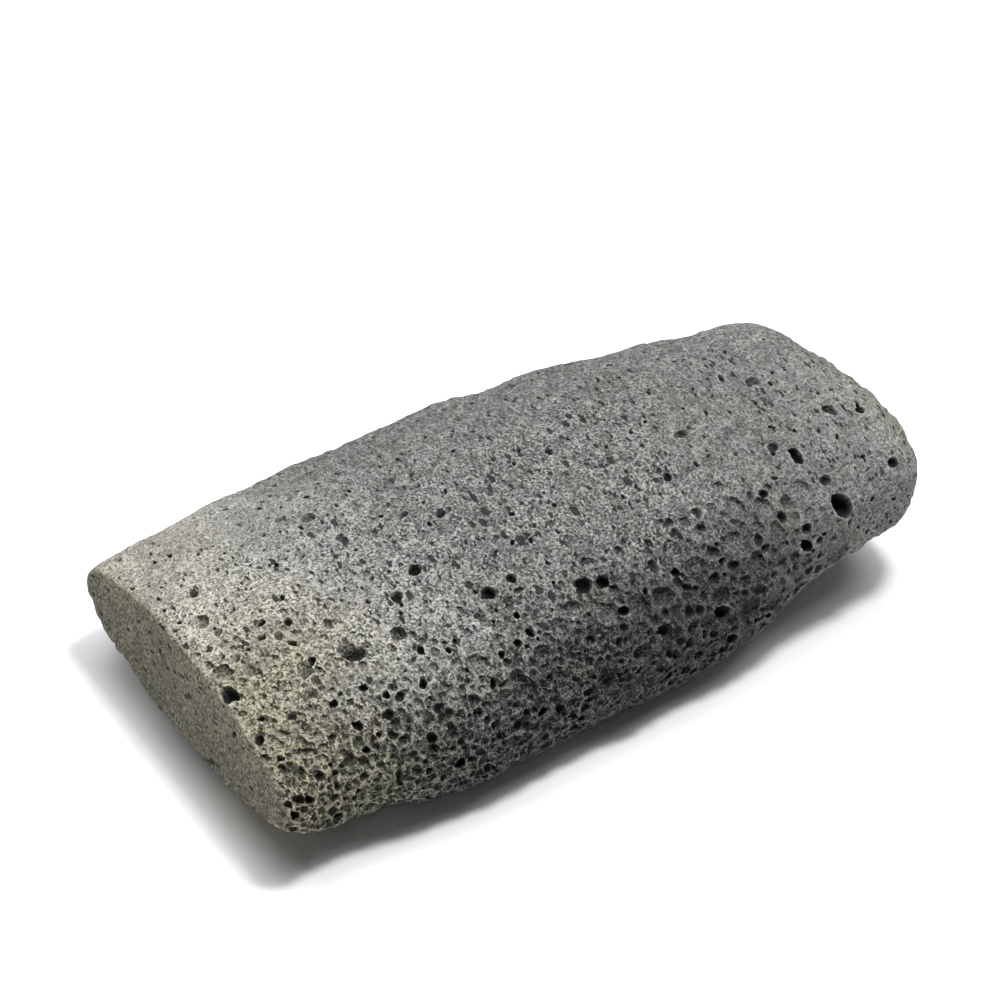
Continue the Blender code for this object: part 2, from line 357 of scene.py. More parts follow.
# The front of the bar, and the worn top and near side, where the grit is sharper, most of all in the middle.
FRONT = (170, 215, 330, 358)
GRITTY_TOP = (140, 190, 330, 358)
GRITTY_MIDDLE = (-40, -14, 8, 30)
TOP_GRIT = 0.55
MIDDLE_GRIT = 0.35
# On the sawn face, slits and tone grow with height, the darker foot of the face being painted shade: their
# amounts and the heights.
FACE_SLITS = (0.5, 1, 14)
FACE_TONE = (0.6, 0.33, 5, 20)
# The olive cast: at the sawn end (less at the back), at the nose's tip and in clouds.
OLIVE_BACK = 0.5
OLIVE_END = (-47, -22)
OLIVE_NOSE = (0.6, 43, 50)
OLIVE_CLOUDS = (0.25, 0.3, 0.7)
CLOUD_SIZE = 5.0
CLOUD_SEED = 52
TONE_WANDER = (4.0, 9.0)
TONE_SEED = 51

# Sizes in mm of the patterns of the finish. Pumice has pores down to hundredths of a millimetre, which are
# finer than a pixel here. The grain stands for them, and is drawn as coarse as it needs to be to show.
GRAIN = 0.34
STIR = 0.4
PATCHES = 1.0
LUMPS = 1.5
CLOUDS = 6.0
FINE_CELLS = 0.62
COARSE_CELLS = 1.25
# How far the stirring moves the cells and frays the slits, in mm.
STIRRED = 0.6
FRAYED = 0.25
# Pinholes in two sizes, and slits: the size of their cells in mm, the share of the cells that have none, and
# the largest radius as a share of a cell.
PINHOLES = (1.2, 0.35, 0.4)
SMALL_PINHOLES = (0.7, 0.3, 0.4)
SLITS = (0.6, 0.15, 0.45)
# In the bump, the grain and the lumps rise by so much, and holes, fine cells and coarse cells sink, in mm.
GRAIN_RISE = 0.16
LUMP_RISE = 0.5
HOLE_RISE = -0.3
CELL_RISE = -0.25
BOWL_RISE = -0.3
# Colours beside those in the settings: clouds in the skin, the painted shade in its low cells, in its holes
# and in the depths of its bubbles, and what tints it where there is no olive cast.
CLOUDED_GREY = "#5E5D5B"
LOW_CELL_SHADE = "#2A2927"
HOLE_SHADE = "#161514"
DEPTH_SHADE = "#080706"
PLAIN_TINT = "#FFFFFD"

# The UV map has a strip between two paths, a disc for each end, and this gap around each of them in mm.
STRIP_PATHS = (1.5, 3.45)
UV_GAP = 1.2

# Edges of more than this angle (degrees) are drawn sharp.
SHARP_DEGREES = 50

LAMPS = (
    Lamp("key light", 32, 76, 0.6, 0.12, 2.3),
    Lamp("rear light", 170, 74, 0.4, 0.25, 0.45),
    Lamp("right light", 65, 64, 0.4, 0.25, 0.75),
    Lamp("left light", -125, 66, 0.25, 0.18, 0.3),
)
FLOOR_REACH = 3.0
PAPER_ROUGHNESS = 0.9
AMBIENT_COLOUR = "#F4F0FF"
# The camera looks at a place in the stone from an azimuth and elevation, and is then moved in its own plane.
LOOK_AT = Vector((0.715, -0.63, 13.5)) * MM
VIEW_AZIMUTH = -34.0
VIEW_ELEVATION = 35.8
VIEW_MOVE = Vector((-2.72, 5.25, 0.0)) * MM
SENSOR_WIDTH = 36
CLIP_START = 0.01


def blend(along, values):
    """Values at the sections joined by cubics, with a slope at each that lies between those beside it."""
    at = np.array([section.along for section in SECTIONS])
    values = np.array(values)
    slopes = np.gradient(values, at)
    left = np.clip(np.searchsorted(at, along, side="right") - 1, 0, len(at) - 2)
    gap = at[left + 1] - at[left]
    t = (along - at[left]) / gap
    start = values[left] * (1 + 2 * t) + slopes[left] * gap * t
    end = values[left + 1] * (3 - 2 * t) - slopes[left + 1] * gap * (1 - t)
    return start * (1 - t) ** 2 + end * t**2


def section_at(along):
    """The cross-section at each place, a share of LENGTH: the SECTIONS with their values blended."""
    return Section(along, *(blend(along, values) for values in list(zip(*SECTIONS))[1:]))


def profile(path):
    """The distance along the bar and the share of its section that the path has reached.

    The share grows evenly over the face, the rim is a quarter of an ellipse, along the bar the share is
    whole, and the nose is a quarter of a superellipse.
    """
    rim = np.clip(path - 1, 0, 1) * np.pi / 2
    nose = np.clip(path - 3, 0, 1) * np.pi / 2
    reach = (np.sin(nose) ** NOSE_POWER + np.cos(nose) ** NOSE_POWER) ** (-1 / NOSE_POWER)
    straight = LENGTH - RIM_LENGTH - NOSE_LENGTH
    along = RIM_LENGTH * (1 - np.cos(rim)) + straight * np.clip(path - 2, 0, 1) - LENGTH / 2
    along = along + NOSE_LENGTH * reach * np.sin(nose)
    share = np.clip(path, 0, 1) * (1 - RIM_INSET) + RIM_INSET * np.sin(rim)
    return along, share * reach * np.cos(nose)


def bare_skin(path, around):
    """Points of the skin without its swells, waves and worn flat, and the middle of each one's section.

    Each section is two half superellipses, an upper and a lower one, scaled by the path's share of it.
    """
    along, share = profile(path)
    section = section_at(np.minimum(along, LENGTH / 2 - NOSE_LENGTH) / LENGTH)
    middle, half_breadth = BREADTH * section.middle, BREADTH / 2 * section.breadth
    under, top = THICKNESS * section.under, THICKNESS * section.top
    cosine, sine = np.cos(around), np.sin(around)
    power = np.where(sine > 0, section.top_power, section.under_power)
    reach = share * (np.abs(cosine) ** power + np.abs(sine) ** power) ** (-1 / power)
    y = middle + half_breadth * reach * cosine
    z = (top + under) / 2 + (top - under) / 2 * reach * sine
    sawn = np.clip(-2 * along / LENGTH, 0, 1) ** 2
    x = along + sawn * (SAWN_SKEW * y + SAWN_LEAN * (z - THICKNESS * SAWN_PIVOT))
    x, y, z, middle, half_height = np.broadcast_arrays(x, y, z, middle, (top + under) / 2)
    return np.stack([x, y, z], axis=-1), np.stack([x, middle, half_height], axis=-1)


def path_at(along):
    """The path that reaches a distance along the bar, on its rim, its sides or its nose."""
    steps = np.linspace(1, 4, PATH_STEPS)
    return np.interp(along, profile(steps)[0], steps)


def unit(vectors):
    return vectors / np.maximum(np.linalg.norm(vectors, axis=-1, keepdims=True), TOO_SHORT)


def ramp(values, start, end):
    """0 before start, 1 after end and a smooth S-curve between them."""
    t = np.clip((values - start) / (end - start), 0, 1)
    return t * t * (3 - 2 * t)


def window(values, places):
    """1 between the middle two of four places, 0 outside the outer two, and S-curves between."""
    return ramp(values, *places[:2]) * (1 - ramp(values, *places[2:]))


def waves(points):
    """The height of the low waves at each point: a sum of sines across directions that a seed fixes."""
    rng = np.random.default_rng(WAVE_SEED)
    height = 0.0
    for length, amount in zip(WAVE_LENGTHS, WAVE_HEIGHTS):
        for direction in unit(rng.normal(size=(2, 3))):
            phase = rng.uniform(0, 2 * np.pi)
            height = height + amount * np.sin(2 * np.pi * (points @ direction) / length + phase)
    return height


def skin(path, around):
    """Points of the whole skin before its pits, in mm.

    It is pushed out of the sections by waves and swells. A swell is a bell curve of the distance from it.
    """
    points, centre = bare_skin(path, around)
    outward = unit((points - centre) * OUTWARD_WEIGHTS)
    rise = waves(points)
    for swell in SWELLS:
        place, _ = bare_skin(path_at(swell.along), np.radians(float(swell.around)))
        apart = np.linalg.norm(points - place, axis=-1)
        rise = rise + swell.rise * np.exp(-((apart / swell.reach) ** 2))
    points = points + outward * rise[..., None]
    points[..., 2] = np.maximum(points[..., 2], WORN_FLAT)
    return points


def skin_frame(along, around):
    """A point of the skin, with its direction along the bar, the direction across that and its normal."""
    path, turn = path_at(along), np.radians(around)
    point = skin(path, turn)
    ahead = unit(skin(path + STEP, turn) - skin(path - STEP, turn))
    across = skin(path, turn + STEP) - skin(path, turn - STEP)
    normal = unit(np.cross(across, ahead))
    return point, ahead, np.cross(normal, ahead), normal


def strewn_pits():
    """Pits in places drawn by a seed, clear of each other and of the middle of the worn flat."""
    dice = random.Random(STREW_SEED)
    taken = [(skin_frame(pit.along, pit.around)[0], pit.long) for pit in CHOSEN_PITS]
    taken.append((np.array([0.0, 0.0, WORN_FLAT]), RESTING_CLEARANCE))
    pits = []
    for strew in STREWS:
        wanted = len(pits) + strew.pits
        while len(pits) < wanted:
            along, around = dice.uniform(*strew.along), dice.uniform(*strew.around)
            opening = dice.triangular(*strew.openings, strew.openings[0])
            pit = Pit(along, around, opening, opening * dice.uniform(*STREWN_WIDTH),
                      dice.uniform(-90, 90), opening * STREWN_DEPTH)
            place = skin_frame(along, around)[0]
            if all(np.linalg.norm(place - other) > (opening + size) / 2 + WALL for other, size in taken):
                taken.append((place, opening))
                pits.append(pit)
    return pits


def lattice_noise(points, size, seed):
    """Smooth noise from -1 to 1: random numbers on a cubic lattice of one size, blended by an S-curve."""
    table = np.random.default_rng(seed).uniform(-1, 1, (LATTICE, LATTICE, LATTICE)).astype(np.float32)
    cell = points / size
    low = np.floor(cell).astype(np.int64)
    t = cell - low
    t = t * t * (3 - 2 * t)
    value = 0.0
    for corner in np.ndindex(2, 2, 2):
        weight = np.prod(np.where(corner, t, 1 - t), axis=-1)
        x, y, z = ((low[..., axis] + corner[axis]) % LATTICE for axis in range(3))
        value = value + weight * table[x, y, z]
    return value


def layered_noise(points, layers, seed):
    """A sum of lattice noises, each with its own size, height and seed."""
    return sum(
        height * lattice_noise(points, size, seed + number) for number, (size, height) in enumerate(layers))


def skin_lengths():
    """Lengths along the skin against the path, as a mean of several rays, and around it against the angle."""
    paths = np.linspace(0, 4, PATH_STEPS)
    angles = np.radians(np.linspace(SEAM_DEGREES, SEAM_DEGREES + 360, RING_STEPS))
    rays, _ = bare_skin(paths[:, None], np.radians(np.arange(0.0, 360.0, RAY_DEGREES))[None])
    ring, _ = bare_skin(np.full_like(angles, RING_PATH), angles)
    ahead = np.linalg.norm(np.diff(rays, axis=0), axis=-1).mean(axis=1)
    aside = np.linalg.norm(np.diff(ring, axis=0), axis=-1)
    return (paths, np.append(0, np.cumsum(ahead))), (angles, np.append(0, np.cumsum(aside)))


def evenly(values, lengths, spacing):
    """Values whose lengths are evenly apart by about the spacing."""
    return np.interp(np.linspace(0, lengths[-1], int(lengths[-1] / spacing) + 1), lengths, values)


def grid_lines(spacing):
    """The paths of the rows and the angles of the columns, so that the rows and columns are evenly apart."""
    (paths, ahead), (angles, aside) = skin_lengths()
    return evenly(paths, ahead, spacing), evenly(angles, aside, spacing)[:-1]


def grid_normals(points, reach=1):
    """Outward normals of the grid, from its differences over some rows and columns."""
    rows = len(points)
    at = np.arange(rows)
    ahead = points[np.minimum(at + reach, rows - 1)] - points[np.maximum(at - reach, 0)]
    aside = np.roll(points, -reach, axis=1) - np.roll(points, reach, axis=1)
    normals = unit(np.cross(aside, ahead))
    normals[0] = unit(normals[1].mean(axis=0))
    normals[-1] = unit(normals[-2].mean(axis=0))
    return normals


def from_underside(around):
    """Angles in degrees from the middle of the underside, from 0 to 360."""
    return (np.degrees(around) - SEAM_DEGREES) % 360


def regions(points, path, around):
    """Where each kind of foam is, from 0 to 1 over the grid.

    Each is a window along the bar times one around it, at places that wander by noise. The top is the rest.
    """
    (far, far_size), (wide, wide_size) = EDGE_WANDER
    x = points[..., 0] + far * lattice_noise(points, far_size, EDGE_SEED)
    turn = from_underside(around) + wide * lattice_noise(points, wide_size, EDGE_SEED + 1)
    body = ramp(path, *FACE_PATHS)
    kinds = {name: window(x, zone.along) * window(turn, zone.around) * body for name, zone in ZONES.items()}
    kinds["near side"] = kinds["near side"] - kinds["coarse foam"]
    kinds["underside"] = (1 - window(turn, ABOVE_THE_UNDERSIDE)) * body
    kinds["sawn face"] = 1 - body
    elsewhere = [kinds[name] for name in ("olive corner", "nose", "underside", "far side", "sawn face")]
    rugged = kinds["near side"] + kinds["coarse foam"]
    kinds["top"] = np.clip(1 - np.maximum.reduce([rugged, *elsewhere]), 0, 1)
    return kinds


def mixed(kinds, quality):
    """One quality of the skin over the grid: that of the plain skin, and what each region adds to it."""
    added = sum(getattr(look, quality) * kinds[name] for name, look in ADDED.items())
    return getattr(PLAIN, quality) + added


class Skin:
    """The grid of points, with how far each one has sunk below the open skin, in mm, and its painted shade.

    The painted shade is how deep a point lies as a share of the mouth over it, so that deep narrow
    bubbles are painted dark where shade would fall.
    """

    def __init__(self, points, warp):
        self.points = points
        self.warp = warp
        self.sunk = np.zeros(points.shape[:2])
        self.gloom = np.zeros(points.shape[:2])

    def near(self, row, column, reach):
        """Rows and columns that hold every point within reach of one, with the columns wrapped round."""
        points = self.points
        rows, columns = points.shape[:2]
        ahead = points[min(row + GAP_REACH, rows - 1), column] - points[max(row - GAP_REACH, 0), column]
        aside = points[row, (column + GAP_REACH) % columns] - points[row, (column - GAP_REACH) % columns]
        tall, broad = (
            int(np.ceil(MOUTH_REACH * reach / max(np.linalg.norm(span) / (2 * GAP_REACH), LEAST_GAP))) + 2
            for span in (ahead, aside))
        broad = min(broad, columns // 2)
        picked_rows = np.arange(max(row - tall, 0), min(row + tall + 1, rows))
        picked_columns = np.arange(column - broad, column + broad + (broad * 2 < columns)) % columns
        return np.ix_(picked_rows, picked_columns)

    def open_bubble(self, row, column, place, axes, size, sink):
        """Carries the skin inside a bubble's mouth down onto the bubble's wall.

        The bubble is a ball scaled by size along its axes, with its middle sink radii below the place. A
        point at some share of the mouth's radius goes to that share of the angle from the ball's bottom
        to its mouth. Near the mouth it keeps its own height, so that the rim joins the skin around it.
        """
        picked = self.near(row, column, max(size[:2]))
        warp = self.warp[picked]
        before = self.points[picked]
        local = ((before + warp - place) @ axes.T) / size
        out = np.linalg.norm(local[..., :2], axis=-1)
        share = out / np.sqrt(1 - sink**2)
        inside = (share < 1) & (np.abs(local[..., 2]) < 1)
        angle = share * np.arccos(-sink)
        keep = share**RIM_POWER
        flat = local[..., :2] / np.maximum(out, TOO_SHORT)[..., None] * np.sin(angle)[..., None]
        deep = -sink - np.cos(angle) + local[..., 2] * keep
        wall = np.concatenate([flat, deep[..., None]], axis=-1) * size
        moved = place + wall @ axes - warp * keep[..., None]
        self.points[picked] = np.where(inside[..., None], moved, before)
        depth = np.where(inside, (local[..., 2] * keep - deep) * size[2], 0)
        # Painted shade: the deeper a point lies below a narrow mouth, the darker its colour is painted.
        mouth = np.sqrt(size[0] * size[1])
        shut_in = min(1.0, size[2] * (1 + sink) / mouth / SHUT_IN) ** 2
        self.sunk[picked] += depth
        self.gloom[picked] = np.maximum(self.gloom[picked], depth / mouth * shut_in)


def open_large_pits(bar, path, around):
    """The pits of the solid, at the same places and sizes."""
    for pit in [*CHOSEN_PITS, *strewn_pits()]:
        place, ahead, across, normal = skin_frame(pit.along, pit.around)
        turn = np.radians(pit.turn)
        long_axis = np.cos(turn) * ahead + np.sin(turn) * across
        axes = np.stack([long_axis, np.cross(normal, long_axis), normal])
        size = np.array([pit.long / 2, pit.wide / 2, pit.deep / (1 + BUBBLE_SINK)])
        row = int(np.abs(path[:, 0] - path_at(pit.along)).argmin())
        apart = (around[0] - np.radians(pit.around) + np.pi) % (2 * np.pi) - np.pi
        bar.open_bubble(row, int(np.abs(apart).argmin()), place, axes, size, BUBBLE_SINK)


def small_bubbles(bar, kinds, foam_size):
    """Places, radii and foams of the small bubbles: a foam's largest first, each clear of those before it."""
    rng = np.random.default_rng(FOAM_SEED)
    points = bar.points
    area = np.linalg.norm(np.cross(np.gradient(points, axis=0), np.gradient(points, axis=1)), axis=-1)
    area[:POLE_ROWS] = area[-POLE_ROWS:] = 0
    open_skin = bar.sunk < PIT_EDGE
    most = sum(foam.tries for foam in FOAMS)
    places, reaches = np.empty((most, 3)), np.empty(most)
    chosen = []
    for foam in FOAMS:
        weight = (area * kinds[foam.region] * open_skin).ravel()
        picks = rng.choice(weight.size, foam.tries, p=weight / weight.sum())
        small, large = foam.radii
        radii = np.sort(small + (large - small) * rng.beta(*RADIUS_SPREAD, foam.tries))[::-1] * foam_size
        for pick, radius in zip(picks, radii):
            place = points.reshape(-1, 3)[pick]
            reach = radius * np.sqrt(foam.drawn)
            apart = np.linalg.norm(places[: len(chosen)] - place, axis=1)
            if (apart < (reaches[: len(chosen)] + reach) * foam.apart * rng.uniform(*APART_SPREAD)).any():
                continue
            places[len(chosen)] = place
            reaches[len(chosen)] = reach
            chosen.append((pick, radius, foam))
    return chosen


def open_small_bubbles(bar, kinds, foam_size):
    """Opens each small bubble along its normal, drawn out along the part of FLOW that lies in the skin."""
    chosen = small_bubbles(bar, kinds, foam_size)
    normals = grid_normals(bar.points, GAP_REACH)
    dice = np.random.default_rng(FOAM_SEED + 1)
    columns = bar.points.shape[1]
    for pick, radius, foam in chosen:
        row, column = divmod(int(pick), columns)
        normal = normals[row, column]
        lying = FLOW - normal * (FLOW @ normal)
        slack = dice.normal(size=3) * FLOW_STRAY
        long_axis = unit(lying + slack - normal * (slack @ normal))
        drawn = 1 + (foam.drawn - 1) * np.linalg.norm(lying) * dice.uniform(*DRAWN_SPREAD)
        axes = np.stack([long_axis, np.cross(normal, long_axis), normal])
        deep = 2 * radius * foam.depth * dice.uniform(*DEPTH_SPREAD) / (1 + FOAM_SINK)
        deep = deep * (1 + (dice.random() < foam.deep))
        size = np.array([radius * drawn**0.5, radius / drawn**0.5, deep])
        bar.open_bubble(row, column, bar.points[row, column].copy(), axes, size, FOAM_SINK)


def ridges(sunk):
    """How far each point stands above the mean around it, from 0 to 1: the walls left between bubbles."""
    mean = sunk
    for axis in (0, 1):
        mean = sum(np.roll(mean, shift, axis) for shift in range(-RIDGE_REACH, RIDGE_REACH + 1))
        mean = mean / (2 * RIDGE_REACH + 1)
    return np.clip((mean - sunk) / RIDGE_HEIGHT, 0, 1)


def srgb(text):
    """Linear red, green, blue and alpha of an sRGB hex colour."""
    parts = [int(text[i : i + 2], 16) / 255 for i in (1, 3, 5)]
    return (*(c / 12.92 if c <= 0.04045 else ((c + 0.055) / 1.055) ** 2.4 for c in parts), 1.0)


class StoneSettings(bpy.types.PropertyGroup):
    grid_spacing: FloatProperty(
        name="Grid spacing", description="How far apart the skin's rows and columns are", default=0.2 * MM,
        min=0.1 * MM, max=2 * MM, subtype="DISTANCE", unit="LENGTH", precision=5)
    triangles: IntProperty(
        name="Triangles", description="How many triangles the finished stone has", default=196000, min=20000)
    foam_size: FloatProperty(
        name="Foam size", description="A factor on the size of the small bubbles", default=1.0,
        min=0.5, max=2.0, subtype="FACTOR")
    pale_grain: FloatVectorProperty(
        name="Pale grain", description="The pale grains of the worn skin", default=srgb("#A5A4A2")[:3],
        min=0, max=1, subtype="COLOR")
    dark_grain: FloatVectorProperty(
        name="Dark grain", description="The dark grains of the worn skin", default=srgb("#4A4948")[:3],
        min=0, max=1, subtype="COLOR")
    # Pale bare glass of cut walls, whose brightness on rims and specks is partly a painted highlight.
    cut_wall_and_highlight: FloatVectorProperty(
        name="Cut walls", description="The bare glass of cell walls that wear has cut",
        default=srgb("#C8C7C3")[:3], min=0, max=1, subtype="COLOR")
    cast: FloatVectorProperty(
        name="Cast", description="The olive cast of the sawn end", default=srgb("#FFFDDC")[:3],
        min=0, max=1, subtype="COLOR")


class StageSettings(bpy.types.PropertyGroup):
    light: FloatProperty(
        name="Light", description="A factor on the power of every lamp", default=1.0,
        min=0, max=10, subtype="FACTOR")
    ambient: FloatProperty(
        name="Ambient", description="Strength of the light from all round", default=0.11, min=0, max=10)
    floor_grey: FloatProperty(
        name="Floor", description="How much light the floor sends back", default=0.92,
        min=0, max=1, subtype="FACTOR")
    camera_distance: FloatProperty(
        name="Camera distance", description="From the stone to the camera", default=0.42, min=0.1, max=10,
        subtype="DISTANCE", unit="LENGTH")
    lens: FloatProperty(
        name="Lens", description="Focal length of the camera", default=119.4, min=10, max=300, unit="CAMERA")


def add_node(tree, kind, inputs=(), **settings):
    """Adds a node: inputs gives each of its sockets a value, or the node or the socket that feeds it."""
    made = tree.nodes.new(kind)
    for name, value in settings.items():
        setattr(made, name, value)
    for socket, value in dict(inputs).items():
        if isinstance(value, bpy.types.Node):
            value = next(output for output in value.outputs if output.enabled)
        if isinstance(value, bpy.types.NodeSocket):
            tree.links.new(value, made.inputs[socket])
        else:
            made.inputs[socket].default_value = value
    return made


COORDINATES, ATTRIBUTE, MAPPING = "ShaderNodeTexCoord", "ShaderNodeAttribute", "ShaderNodeMapping"
NOISE, CELLS, SPLIT = "ShaderNodeTexNoise", "ShaderNodeTexVoronoi", "ShaderNodeSeparateColor"
RANGE, MATHS, VECTORS = "ShaderNodeMapRange", "ShaderNodeMath", "ShaderNodeVectorMath"
MIX, BUMP = "ShaderNodeMix", "ShaderNodeBump"


def pumice_finish(settings):
    """Pumice, foamed volcanic glass, sawn and then worn by rubbing.

    To the eye it is dull grey stone, with bright ridges where cell walls were cut (partly painted highlight),
    open cells whose depths are painted near black as shade, pinholes painted dark as shade between them,
    tones that are partly painted light and shade, and a faint olive cast at the sawn end.
    """
    material = bpy.data.materials.new("worn_pumice")
    material.use_nodes = True
    tree = material.node_tree
    add = functools.partial(add_node, tree)
    surface = tree.nodes["Principled BSDF"]
    place = add(COORDINATES).outputs["Object"]
    skin_space, flow_space, slit_space = (
        add(MAPPING, {"Vector": place, "Rotation": (0, 0, turn), "Scale": (MM, drawn * MM, MM)},
            vector_type="TEXTURE")
        for turn, drawn in ((0, 1), (FLOW_TURN, FLOW_DRAWN), (FLOW_TURN, SLIT_DRAWN)))
    stir = add(NOISE, {"Vector": flow_space, "Scale": 1 / STIR, "Detail": 1.0}).outputs["Color"]
    stirred = add(VECTORS, {0: stir, 1: (STIRRED,) * 3, 2: flow_space}, operation="MULTIPLY_ADD")
    frayed = add(VECTORS, {0: stir, 1: (FRAYED,) * 3, 2: slit_space}, operation="MULTIPLY_ADD")

    gloom, wall, olive, tone, grit, cells, net, slits = (
        add(ATTRIBUTE, attribute_name=name).outputs["Fac"]
        for name in ("gloom", "wall", "olive", "tone", "grit", "cells", "net", "slits"))
    open_skin = add(RANGE, {"Value": gloom, "From Min": 0.28, "From Max": 0.06})
    netted = add(MATHS, {0: open_skin, 1: net}, operation="MULTIPLY")

    fine, patchy, lumps, cloud = (
        add(NOISE, {"Vector": space, "Scale": 1 / size, "Detail": detail})
        for space, size, detail in (
            (skin_space, GRAIN, 1.0), (flow_space, PATCHES, 2.0),
            (skin_space, LUMPS, 2.0), (skin_space, CLOUDS, 3.0)))

    # Foam too fine for the mesh: cells with thin cut walls, partly a painted highlight, some of them shallow
    # and some open, with painted shade in them.
    edge = add(CELLS, {"Vector": stirred, "Scale": 1 / FINE_CELLS}, feature="DISTANCE_TO_EDGE")
    lot = add(SPLIT, {"Color": add(CELLS, {"Vector": stirred, "Scale": 1 / FINE_CELLS}).outputs["Color"]})
    inside = add(RANGE, {"Value": edge, "From Min": 0.03, "From Max": 0.26})
    depth = add(RANGE, {"Value": lot, "From Min": 0.2, "From Max": 1.0, "To Min": 0.1})
    dip = add(MATHS, {0: inside, 1: depth}, operation="MULTIPLY")
    dip = add(MATHS, {0: dip, 1: netted}, operation="MULTIPLY")
    lit = add(RANGE, {"Value": patchy, "From Min": 0.4, "From Max": 0.6, "To Max": netted})
    rim = add(RANGE, {"Value": edge, "From Min": 0.13, "From Max": 0.02})
    rim = add(MATHS, {0: rim, 1: lit}, operation="MULTIPLY")

    # Coarser foam cells that share thin walls, on the rugged near side, with painted shade in their bowls.
    wide_edge = add(CELLS, {"Vector": stirred, "Scale": 1 / COARSE_CELLS}, feature="DISTANCE_TO_EDGE")
    bowl = add(RANGE, {"Value": wide_edge, "From Min": 0.02, "From Max": 0.3})
    bowl = add(MATHS, {0: bowl, 1: cells}, operation="MULTIPLY")
    line = add(RANGE, {"Value": wide_edge, "From Min": 0.06, "From Max": 0.01, "To Max": cells})

    # Pinholes in two sizes and long slits: spots in some cells of three patterns, later painted dark as
    # shade.
    # Grit widens the pinholes.
    hole = 0.0
    wide = add(MATHS, {0: grit, 1: 0.6, 2: 0.4}, operation="MULTIPLY_ADD")
    for spots, (size, bare_share, limit), share in (
            (stirred, PINHOLES, wide), (stirred, SMALL_PINHOLES, wide), (frayed, SLITS, slits)):
        spot = add(CELLS, {"Vector": spots, "Scale": 1 / size})
        lot = add(SPLIT, {"Color": spot.outputs["Color"]})
        reach = add(RANGE, {"Value": lot, "From Min": bare_share, "From Max": 1.0, "To Max": limit})
        reach = add(MATHS, {0: reach, 1: share}, operation="MULTIPLY")
        inner = add(MATHS, {0: reach, 1: spot.outputs["Distance"]}, operation="SUBTRACT")
        inner = add(RANGE, {"Value": inner, "From Min": 0.0, "From Max": 0.06})
        hole = add(MATHS, {0: inner, 1: hole}, operation="MAXIMUM")
    hole = add(MATHS, {0: hole, 1: open_skin}, operation="MULTIPLY")


    # Bare glass, partly paler glass and partly painted highlight: the cells' rims, bright specks and the
    # walls between the bubbles of the mesh.
    speck = add(RANGE, {"Value": fine, "From Min": 0.62, "From Max": 0.76, "To Max": grit})
    bright = add(MATHS, {0: line, 1: speck}, operation="MAXIMUM")
    bright = add(MATHS, {0: rim, 1: bright}, operation="MAXIMUM")
    sharp_wall = add(MATHS, {0: wall, 1: 2.0}, operation="POWER")
    bright = add(MATHS, {0: sharp_wall, 1: 0.6, 2: bright}, operation="MULTIPLY_ADD", use_clamp=True)
    bare = add(RANGE, {"Value": tone, "From Min": 0.15, "From Max": 0.7, "To Min": 0.3, "To Max": 0.6})
    bright = add(MATHS, {0: bright, 1: bare}, operation="MULTIPLY")

    # The skin: dark and pale grain, clouded, with painted shade in low cells, scaled by the tone (partly
    # painted light and shade), with bare glass on it.
    grain = add(RANGE, {"Value": fine, "From Min": 0.4, "From Max": 0.6, "To Min": -0.5, "To Max": 0.5})
    grain = add(MATHS, {0: grain, 1: wide, 2: 0.5}, operation="MULTIPLY_ADD")
    grey = add(MIX, {0: grain, 6: (*settings.dark_grain, 1), 7: (*settings.pale_grain, 1)}, data_type="RGBA")
    clouding = add(MATHS, {0: cloud, 1: lumps}, operation="ADD")
    clouding = add(RANGE, {"Value": clouding, "From Min": 0.85, "From Max": 1.15, "To Max": 0.5})
    clouded = add(MIX, {0: clouding, 6: grey, 7: srgb(CLOUDED_GREY)}, data_type="RGBA")
    low = add(MATHS, {0: bowl, 1: 0.6, 2: dip}, operation="MULTIPLY_ADD")
    low_shade_share = add(MATHS, {0: low, 1: 0.7}, operation="MULTIPLY", use_clamp=True)
    low_shaded = add(MIX, {0: low_shade_share, 6: clouded, 7: srgb(LOW_CELL_SHADE)}, data_type="RGBA")
    toned = add(VECTORS, {0: low_shaded.outputs[2], "Scale": tone}, operation="SCALE")
    lit_skin = add(MIX, {0: bright, 6: toned.outputs[0], 7: (*settings.cut_wall_and_highlight, 1)}, data_type="RGBA")
    # Over that lie the holes' painted shade, the olive cast and the painted shade of deep bubbles. Bare glass
    # is also smoother.
    hole_shade_share = add(MATHS, {0: hole, 1: 0.94}, operation="MULTIPLY")
    hole_shaded = add(MIX, {0: hole_shade_share, 6: lit_skin, 7: srgb(HOLE_SHADE)}, data_type="RGBA")
    tint = add(MIX, {0: olive, 6: srgb(PLAIN_TINT), 7: (*settings.cast, 1)}, data_type="RGBA")
    tinted = add(VECTORS, {0: hole_shaded.outputs[2], 1: tint.outputs[2]}, operation="MULTIPLY")
    shadow = add(RANGE, {"Value": gloom, "From Min": 0.14, "From Max": 0.95, "To Max": 0.97})
    colour = add(MIX, {0: shadow, 6: tinted, 7: srgb(DEPTH_SHADE)}, data_type="RGBA")
    tree.links.new(colour.outputs[2], surface.inputs["Base Color"])
    rough = add(RANGE, {"Value": bright, "To Min": 0.92, "To Max": 0.6})
    tree.links.new(rough.outputs[0], surface.inputs["Roughness"])

    # The bump, in millimetres: grain and lumps, with the holes and cells sunk in them.
    height = add(MATHS, {0: fine, 1: GRAIN_RISE}, operation="MULTIPLY")
    for layer, rise in ((lumps, LUMP_RISE), (hole, HOLE_RISE), (dip, CELL_RISE), (bowl, BOWL_RISE)):
        height = add(MATHS, {0: layer, 1: rise, 2: height}, operation="MULTIPLY_ADD")
    bump = add(BUMP, {"Height": height, "Distance": MM, "Strength": 1.0})
    tree.links.new(bump.outputs[0], surface.inputs["Normal"])
    return material


